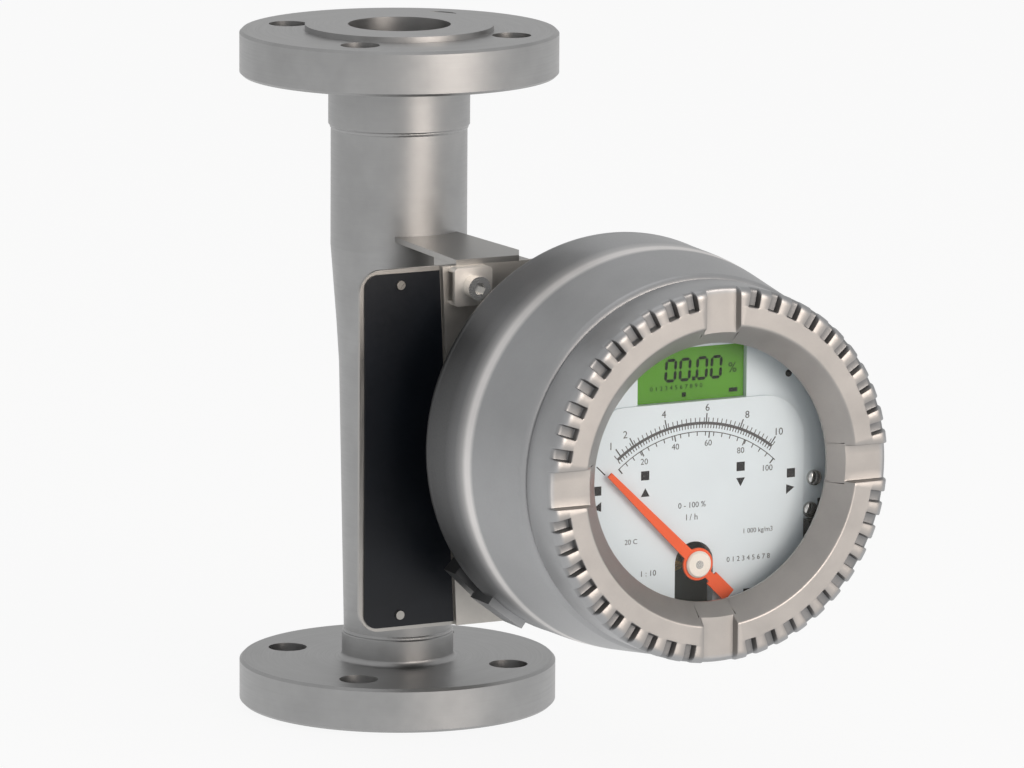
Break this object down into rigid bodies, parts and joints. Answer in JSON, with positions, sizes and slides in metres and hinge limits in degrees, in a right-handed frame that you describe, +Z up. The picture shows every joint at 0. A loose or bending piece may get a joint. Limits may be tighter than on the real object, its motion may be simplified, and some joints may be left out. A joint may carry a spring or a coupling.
{
  "type": "variable area flow meter",
  "caption": "Metal tube flow meter with flanged ends, a sliding float and a round, screw-covered indicator with dial, pointer and display.",
  "frame": {"origin": "centre of the lower flange's raised face, on the pipe axis", "axes": "+Z up along the pipe, -Y out of the indicator's face, +X to the right as the dial is read"},
  "size_m": [0.1753, 0.245, 0.25],
  "materials": {
    "flange_steel": "satin, turned",
    "tube_steel": "satin, drawn and turned",
    "inner_steel": "fine turned",
    "magnet": "sintered, dark",
    "sheet_steel": "satin sheet",
    "label": "satin dark blue-grey",
    "screw_steel": "satin",
    "housing_steel": "bead blasted",
    "cover_steel": "fine machined",
    "seal_rubber": "matt",
    "bearing_brass": "turned",
    "chassis": "anodised",
    "board": "green solder mask",
    "spacer": "moulded",
    "module": "moulded black",
    "display": "lit green display",
    "dial_white": "white",
    "terminal_chrome": "bright",
    "pointer_orange": "satin orange",
    "pointer_white": "white",
    "glass": "clear"
  },
  "bodies": {
    "meter_body": {"lower_flange": "flange_steel", "upper_flange": "flange_steel", "measuring_tube": "tube_steel", "lower_guide": "inner_steel", "upper_guide": "inner_steel", "retaining_ring": "inner_steel", "guide_rod": "inner_steel", "float_stop": "inner_steel", "brake_magnet": "magnet", "tube_bracket": "sheet_steel", "front_plate": "sheet_steel", "plate_carrier": "sheet_steel", "clamp_pads": "sheet_steel", "name_plate": "label", "name_plate_rivets": "screw_steel", "clamp_screws": "screw_steel", "neck_screws": "screw_steel", "housing_body": "housing_steel", "follower_can": "housing_steel", "cable_plug": "housing_steel", "cover_seal": "seal_rubber", "plug_seal": "seal_rubber", "rear_bearing": "bearing_brass", "front_bearing": "bearing_brass", "chassis_plate": "chassis", "standoffs": "chassis", "dial_pillars": "chassis", "circuit_board": "board", "board_spacers": "spacer", "display_module": "module", "terminal_block": "module", "display_glass": "display", "dial_cover": "dial_white", "scale_plate": "dial_white", "terminal_screws": "terminal_chrome"},
    "float": {"float_body": "inner_steel", "float_magnet": "magnet", "float_cap": "inner_steel"},
    "pointer": {"pointer_shaft": "inner_steel", "pointer_blade": "pointer_orange", "pointer_hub": "pointer_white", "follower_magnet": "magnet", "magnet_carrier": "inner_steel", "damping_disc": "chassis"},
    "window": {"window_glass": "glass", "window_gasket": "seal_rubber", "glass_retainer": "cover_steel"},
    "cover": {"cover_ring": "cover_steel"}
  },
  "joints": [
    {"name": "float_slide", "type": "slide", "parent": "meter_body", "child": "float", "axis": [0, 0, 1], "range_m": [0, 0.06]},
    {"name": "pointer_turn", "type": "hinge", "parent": "meter_body", "child": "pointer", "pos_m": [0.033, -0.17, 0.081], "axis": [0, 1, 0], "range_deg": [0, 84]},
    {"name": "cover_lift", "type": "slide", "parent": "meter_body", "child": "window", "axis": [0, -1, 0], "range_m": [0, 0.012]},
    {"name": "cover_turn", "type": "hinge", "parent": "window", "child": "cover", "pos_m": [0.033, -0.17, 0.115], "axis": [0, -1, 0], "range_deg": [0, 2160]}
  ],
  "couplings": [
    {"joint": "pointer_turn", "follows": "float_slide", "rad_per_m": 24.434},
    {"joint": "cover_lift", "follows": "cover_turn", "m_per_rad": 0.0003183}
  ]
}
